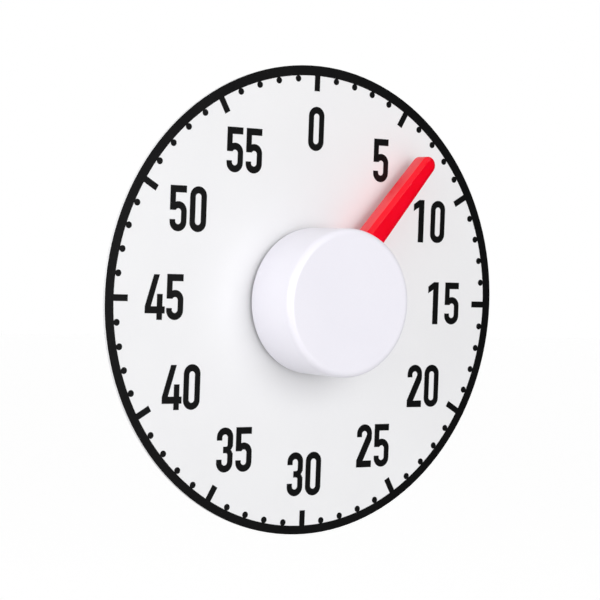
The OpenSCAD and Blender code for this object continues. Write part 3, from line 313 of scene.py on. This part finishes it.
# ---- Knob ----
# The big winding knob, one hollow moulding in satin white ABS: a straight skirt with a
# rounded front edge, a hub that grips the arbor, ribs, and a window where the pointer leaves.
KNOB_R, KNOB_IN_R, KNOB_EDGE, KNOB_FRONT, CEILING, RIM = 28.0, 25.8, 2.6, 45.6, 43.2, 20.7
RIM_EDGE, INNER_EDGE, HOLLOW_EDGE = 0.3, 0.2, 0.5
HUB_R, HUB_END, INSERT_R, INSERT_TOP, ARBOR_R, BORE_TOP = 7.5, 22.7, 5.02, 36.7, 2.6, 38.7
RIBS, RIB_HALF, RIB_LOW, RIB_CORNER = 6, 0.6, 33.2, 0.1
BOSS_R, BOSS_EDGE, BOSSES_AT, PILOT_R, PILOT_TOP = 3, 0.2, (14.0, 20.5), 1.02, 35.6
# how far a rib's ends run into hub and skirt, and ribs and bosses into the knob's front
END_ROOT, FRONT_ROOT = 0.5, 0.3
# the window for the pointer: its half width up to the eaves and at the top, and its rows of corners
WINDOW_SIDE, WINDOW_RIDGE, EAVES, WINDOW_TOP = 4.75, 3.05, 31.25, 32.45
WINDOW_HEIGHTS = [24.6, 26.3, 28.0, 29.6, EAVES, 31.65, 32.05, WINDOW_TOP]
# the skirt's rows of corners above and below the window, and the one above it on the inner wall
ROWS_ABOVE, ROWS_BELOW, INNER_ROW = (42.4, 39, 35.5), (23.5, 21.1), 36
# the upper face of the pointer's tongue, on which the bosses stand
TONGUE_TOP = 30.6
# the knob and its pointer stand at 6.7 minutes, with 6 degrees to a minute
POINTER_TURN = math.radians(6.7 * 6)


def turned(part, turn=POINTER_TURN):
    """Turns a part that points up (+y) clockwise, by default to the minute that the pointer shows."""
    points, faces = part
    c, s = math.cos(turn), math.sin(turn)
    return points @ np.array([[c, -s, 0], [s, c, 0], [0, 0, 1]]), faces


def knob_shell(around=169, across=12):
    """The knob's section carried round its axis, x = r sin a, y = r cos a, z = h. The columns keep
    clear of the window: on each row they spread evenly from its one edge round to its other, and
    the cells between its edges are left out, then lined from the outer wall to the inner."""
    up = np.array(WINDOW_HEIGHTS)
    crown = KNOB_R - KNOB_EDGE
    front = np.concatenate([
        [(r, KNOB_FRONT) for r in (0, 8, 16, crown - 2 * FLAT_ROW, crown - FLAT_ROW)],
        arc((crown, KNOB_FRONT - KNOB_EDGE), KNOB_EDGE, 90, 0, 16), [(KNOB_R, z) for z in ROWS_ABOVE]])
    rim = np.concatenate([
        [(KNOB_R, z) for z in ROWS_BELOW], arc((KNOB_R - RIM_EDGE, RIM + RIM_EDGE), RIM_EDGE, 0, -90, 4)])
    lip = np.concatenate([
        arc((KNOB_IN_R + INNER_EDGE, RIM + INNER_EDGE), INNER_EDGE, 270, 180, 3),
        [(KNOB_IN_R, ROWS_BELOW[0])]])
    hollow = np.concatenate([
        [(KNOB_IN_R, INNER_ROW), (KNOB_IN_R, CEILING - HOLLOW_EDGE)],
        arc((KNOB_IN_R - HOLLOW_EDGE, CEILING - HOLLOW_EDGE), HOLLOW_EDGE, 0, 90, 4),
        arc((HUB_R + HOLLOW_EDGE, CEILING - HOLLOW_EDGE), HOLLOW_EDGE, 90, 180, 4),
        [(HUB_R, HUB_END + INNER_EDGE + FLAT_ROW)],
        arc((HUB_R - INNER_EDGE, HUB_END + INNER_EDGE), INNER_EDGE, 0, -90, 3),
        [(INSERT_R, HUB_END), (INSERT_R, INSERT_TOP)],
        [(ARBOR_R, INSERT_TOP), (ARBOR_R, BORE_TOP), (0, BORE_TOP)]])
    outer_wall, inner_wall = [(KNOB_R, z) for z in up[::-1]], [(KNOB_IN_R, z) for z in up]
    section = np.concatenate([front, outer_wall, rim, lip, inner_wall, hollow])
    top_row = len(front)
    lip_row = top_row + len(up) + len(rim)
    low_row = lip_row + len(lip)
    wall = np.where(np.arange(len(section)) < lip_row, KNOB_R, KNOB_IN_R)
    narrowing = np.interp(section[:, 1], [EAVES, WINDOW_TOP], [WINDOW_SIDE, WINDOW_RIDGE])
    half = np.arcsin(narrowing / wall)[:, None]
    outside = half + (2 * np.pi - 2 * half) * np.linspace(0, 1, around)
    angles = np.hstack([outside, half * np.linspace(-1, 1, across + 1)[1:-1]])
    rows = np.stack([section[:, :1] * np.sin(angles), section[:, :1] * np.cos(angles),
                     section[:, 1:] + 0 * angles], axis=-1)
    number = np.arange(angles.size).reshape(angles.shape)
    number[section[:, 0] == 0] = number[section[:, 0] == 0, :1]
    cells = bridged(number)
    keep = np.ones(cells.shape[:2], bool)
    for first in (top_row, low_row):
        keep[first:first + len(up) - 1, around - 1:] = False
    sill = np.append(np.arange(around - 1, angles.shape[1]), 0)
    edges = []
    for rising in (np.arange(top_row, top_row + len(up))[::-1], np.arange(low_row, low_row + len(up))):
        edges.append(np.concatenate([
            number[rising[0], sill], number[rising[1:], 0],
            number[rising[-1], sill[::-1][1:]], number[rising[::-1][1:], around - 1]]))
    outer, inner = edges
    lining = np.stack([outer[:-1], inner[:-1], inner[1:], outer[1:]], axis=-1)
    return rows.reshape(-1, 3), np.concatenate([cells[keep], lining])


def slab(outline, steps):
    """A solid from an outline drawn in by each step's inset and raised to its height, row on row.
    The outline runs up one side and down the other, so its first and last rows close straight across."""
    rows = np.stack([np.column_stack([outline(inset), np.full(len(outline(inset)), height)])
                     for inset, height in steps])
    number = np.arange(rows[..., 0].size).reshape(rows.shape[:2])
    half = number.shape[1] // 2
    low, high = number[0], number[-1]
    under = np.stack([low[1:half], low[:half - 1], low[::-1][:half - 1], low[::-1][1:half]], axis=-1)
    over = np.stack([high[:half - 1], high[1:half], high[::-1][1:half], high[::-1][:half - 1]], axis=-1)
    return rows.reshape(-1, 3), np.concatenate([bridged(number).reshape(-1, 4), under, over])


def plank(half_width, start, end, corner=0.3):
    """Outline of a plank along +y with rounded corners, right side up and left side down."""
    def outline(inset):
        w, c = half_width - inset, corner
        right = np.concatenate([arc((w - c, start + inset + c), c, -90, 0, 3),
                                arc((w - c, end - inset - c), c, 0, 90, 3)])
        return np.concatenate([right, right[::-1] * [-1, 1]])
    return outline


# Knob ABS: white with a cool cast, smoother than the plate; the gloss drifts over 20 mm.
knob_abs, mm = finish("satin_white_abs", IOR=1.54)
drift = add(knob_abs, "ShaderNodeTexNoise", {"Vector": mm, "Scale": 1 / 20, "Detail": 2.0}).outputs["Fac"]
grain = add(knob_abs, "ShaderNodeTexNoise", {"Vector": mm, "Scale": 1 / 0.35, "Detail": 2.0}).outputs["Fac"]
rest = add(knob_abs, "ShaderNodeMath", {0: drift, 1: 0.4}, operation="MULTIPLY")
blend = add(knob_abs, "ShaderNodeMath", {0: grain, 1: 0.6, 2: rest.outputs[0]}, operation="MULTIPLY_ADD")
coat(knob_abs, (blend.outputs[0], "#EDEBF4", "#F7F5FD"), (drift, 0.285, 0.33), (grain, 0.04, 0.00002))

root = CEILING + FRONT_ROOT
rib = slab(plank(RIB_HALF, HUB_R - END_ROOT, KNOB_IN_R + END_ROOT, RIB_CORNER), [(0, RIB_LOW), (0, root)])
ribs = [turned(rib, 2 * math.pi * (number + 0.5) / RIBS) for number in range(RIBS)]
boss, faces = lathe([(0, PILOT_TOP), (PILOT_R, PILOT_TOP), (PILOT_R, TONGUE_TOP),
                     (BOSS_R - BOSS_EDGE, TONGUE_TOP), (BOSS_R, TONGUE_TOP + BOSS_EDGE),
                     (BOSS_R, root), (0, root)], 40)
bosses = [(boss + [0, radius, 0], faces) for radius in BOSSES_AT]
knob_part = turned(joined([knob_shell(), *ribs, *bosses]))
knob = piece("winding_knob", knob_part, "knob", knob_abs, sharp=40)
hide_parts("knob_cap")

# ---- Pointer ----
# A tapered blade moulded in glossy red ABS, with upright sides, a bevel up to a flat top and
# a round tip. Its tongue runs under the knob's front, where two screws hold it.
UNDER, SHOULDER, TOP, BEVEL_W, LOWER_EDGE = 24.7, 31.2, 32.35, 1.7, 0.9
# the root's half width holds at ROOT_AT, and the blade starts further out, within the skirt's wall
TIP_R, TIP_AT, ROOT_HALF, ROOT_AT, BLADE_START = 3.4, 71.0, 4.65, 24.8, 25.9
TONGUE_HALF, TONGUE_START, TONGUE_END, TONGUE_EDGE = 3.5, 10.0, 26.0, 0.2


def blade_outline(inset):
    """The blade seen from the front: a straight side from the root to where it touches the tip's
    circle, the circle's arc, and the other side back. The side leans by the angle p for which
    a cos p - b sin p = r, with a the root's half width, b the length to the tip's centre."""
    r, a, b = TIP_R - inset, ROOT_HALF - inset, TIP_AT - ROOT_AT
    lean = math.acos(r / math.hypot(a, b)) - math.atan2(b, a)
    touch = np.array([r * math.cos(lean), TIP_AT + r * math.sin(lean)])
    along = np.linspace(0, 1, 24)[:, None]
    side_x = a + (touch[0] - a) * (BLADE_START - ROOT_AT) / (touch[1] - ROOT_AT)
    side = np.array([side_x, BLADE_START]) * (1 - along) + touch * along
    tip = arc((0, TIP_AT), r, math.degrees(lean), 90, 24)[1:]
    right = np.concatenate([side, tip])
    return np.concatenate([right, right[::-1] * [-1, 1]])


# Glossy ABS: strong cool red that light enters by some 5 mm, with the weakest flow marks. The top
# and the bevel, which face -Y, are polished. The upright sides have a satin skin with a pale sheen.
red_abs, mm = finish("glossy_red_abs", IOR=1.5, Subsurface_Weight=0.5, Subsurface_Scale=0.005)
flow = add(red_abs, "ShaderNodeTexNoise", {"Vector": mm, "Scale": 1 / 9, "Detail": 2.0}).outputs["Fac"]
polish = add(red_abs, "ShaderNodeMapRange", {"Value": flow, "To Min": 0.18, "To Max": 0.21})
normal = add(red_abs, "ShaderNodeTexCoord").outputs["Normal"]
facing = add(red_abs, "ShaderNodeSeparateXYZ", {0: normal}).outputs["Y"]
upright = add(red_abs, "ShaderNodeMapRange",
              {"Value": facing, "From Min": -0.6, "From Max": -0.3}).outputs["Result"]
coat(red_abs, (flow, "#EF001E", "#F70225"), (upright, polish.outputs["Result"], 0.42))
shine = add(red_abs, "ShaderNodeMapRange", {"Value": upright, "To Min": 0.28, "To Max": 0.95})
wire(red_abs, shine.outputs["Result"], "Specular IOR Level")

# from the flat underside round the lower edge, up the side and over the bevel to the flat top
slope = math.atan2(TOP - SHOULDER, BEVEL_W)
run, rise = math.cos(slope), math.sin(slope)
blade_steps = [(LOWER_EDGE + 0.5, UNDER), (LOWER_EDGE + 0.05, UNDER)]
for turn in np.linspace(0, np.pi / 2, 8):
    blade_steps.append((LOWER_EDGE * (1 - math.sin(turn)), UNDER + LOWER_EDGE * (1 - math.cos(turn))))
blade_steps += [(0, UNDER + 2), (0, SHOULDER - 0.2), (0.02, SHOULDER - 0.07)]
blade_steps += [(along * run, SHOULDER + along * rise) for along in (0.1, 0.25)]
blade_steps += [(BEVEL_W - 0.25 * run, TOP - 0.25 * rise), (BEVEL_W - 0.05, TOP - 0.055),
                (BEVEL_W + 0.12, TOP), (BEVEL_W + 0.3, TOP)]
blade = slab(blade_outline, blade_steps)
tongue = slab(plank(TONGUE_HALF, TONGUE_START, TONGUE_END),
              [(TONGUE_EDGE, UNDER), (0, UNDER + TONGUE_EDGE),
               (0, TONGUE_TOP - TONGUE_EDGE), (TONGUE_EDGE, TONGUE_TOP)])
pointer = piece("red_pointer", turned(joined([blade, tongue])), "knob", red_abs, sharp=50)
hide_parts("pointer")

# ---- Room ----
# A white studio: a pale floor well below the wall-mounted timer, white all round for the eye
# and for reflections, a soft lamp at the left and one before it, and plain fill from everywhere.
FLOOR_Z, FLOOR_SIZE = -0.36, 14
# what the floor gives off for the eye alone, and the fill that the world throws on everything
FLOOR_GLOW, FILL = 0.6, 0.51
SOFTBOX_SIZE = 0.9

bpy.ops.mesh.primitive_plane_add(size=FLOOR_SIZE, location=(0, 0, FLOOR_Z))
floor = bpy.context.object
floor.name = "studio_floor"
matt, mm = finish("matt_white_floor", Roughness=0.9, Emission_Color=(1, 1, 1, 1))
speckle = add(matt, "ShaderNodeTexNoise", {"Vector": mm, "Scale": 1 / 5, "Detail": 2.0}).outputs["Fac"]
tone = add(matt, "ShaderNodeMix", {"Factor": speckle, 6: srgb("#D2D2D2"), 7: srgb("#D6D6D6")},
           data_type="RGBA")
wire(matt, tone.outputs[2], "Base Color")
seen = add(matt, "ShaderNodeLightPath").outputs["Is Camera Ray"]
glow = add(matt, "ShaderNodeMath", {0: seen, 1: FLOOR_GLOW}, operation="MULTIPLY")
wire(matt, glow.outputs[0], "Emission Strength")
floor.data.materials.append(matt)

world = bpy.data.worlds.new("studio")
bpy.context.scene.world = world
world.use_nodes = True
rays = add(world, "ShaderNodeLightPath")
mirror = add(world, "ShaderNodeMath", {0: rays.outputs["Is Camera Ray"], 1: rays.outputs["Is Glossy Ray"]},
             operation="MAXIMUM")
white = add(world, "ShaderNodeMath", {0: mirror.outputs[0], 1: rays.outputs["Is Transmission Ray"]},
            operation="MAXIMUM")
level = add(world, "ShaderNodeMapRange", {"Value": white.outputs[0], "To Min": FILL, "To Max": 1.0})
sky = world.node_tree.nodes["Background"]
sky.inputs["Color"].default_value = (1, 1, 1, 1)
world.node_tree.links.new(level.outputs["Result"], sky.inputs["Strength"])


def lamp(name, size, power, place, aim=(0, -0.03, 0)):
    """A square soft lamp at a place, turned to face its aim: its -Z axis along aim minus place."""
    light = bpy.data.lights.new(name, "AREA")
    light.size = size
    light.energy = power
    made = bpy.data.objects.new(name, light)
    bpy.context.scene.collection.objects.link(made)
    back = np.subtract(place, aim) / np.linalg.norm(np.subtract(place, aim))
    right = np.cross((0, 0, 1), back)
    right /= np.linalg.norm(right)
    turn = Matrix(np.column_stack([right, np.cross(back, right), back]).tolist()).to_4x4()
    made.matrix_world = Matrix.Translation(place) @ turn


lamp("side_softbox", SOFTBOX_SIZE, 6.8, (-1.23, -0.11, 0.22))
lamp("front_softbox", SOFTBOX_SIZE, 7.6, (0.0, -1.23, 0.22))

# A black cloth panel stands upright beyond the timer's right, for reflections only, so that the
# colour of what faces front stays full and rounded edges show their form.
FLAG_NEAR, FLAG_FAR, FLAG_TOP = (0.25, -1.05), (0.95, 0.35), 0.6
cloth, mm = finish("black_velvet_cloth", Roughness=0.95, Specular_IOR_Level=0.1)
nap = add(cloth, "ShaderNodeTexNoise", {"Vector": mm, "Scale": 1 / 2, "Detail": 2.0}).outputs["Fac"]
tone = add(cloth, "ShaderNodeMix", {"Factor": nap, 6: srgb("#0E0E0E"), 7: srgb("#161616")}, data_type="RGBA")
wire(cloth, tone.outputs[2], "Base Color")
flag_mesh = bpy.data.meshes.new("dark_flag")
flag_corners = [(*FLAG_NEAR, FLOOR_Z), (*FLAG_FAR, FLOOR_Z), (*FLAG_FAR, FLAG_TOP), (*FLAG_NEAR, FLAG_TOP)]
flag_mesh.from_pydata(flag_corners, [], [(0, 1, 2, 3)])
flag_mesh.materials.append(cloth)
flag = bpy.data.objects.new("dark_flag", flag_mesh)
bpy.context.scene.collection.objects.link(flag)
flag.visible_camera = flag.visible_diffuse = flag.visible_shadow = False

# ---- Camera ----
# A long lens about 0.8 m from the dial, to its left and level with it. The lens is shifted by
# half a pixel of 600 each way.
EYE_AT = (-0.450311, -0.656528, 0.01779)
EYE_RIGHT, EYE_UP = (0.819377, -0.572154, 0.035504), (-0.016005, 0.039076, 0.999108)
EYE_FORWARD = (0.573031, 0.819215, -0.022861)
PIXELS = 600
eye = bpy.data.cameras.new("camera")
eye.sensor_width = 36
eye.lens = 121.965
eye.shift_x, eye.shift_y = -0.5 / PIXELS, 0.5 / PIXELS
eye.clip_start = 0.01
camera = bpy.data.objects.new("camera", eye)
bpy.context.scene.collection.objects.link(camera)
axes = Matrix(np.column_stack([EYE_RIGHT, EYE_UP, np.negative(EYE_FORWARD)]).tolist())
camera.matrix_world = Matrix.Translation(EYE_AT) @ axes.to_4x4()
bpy.context.scene.camera = camera
bpy.context.scene.view_settings.view_transform = "Standard"
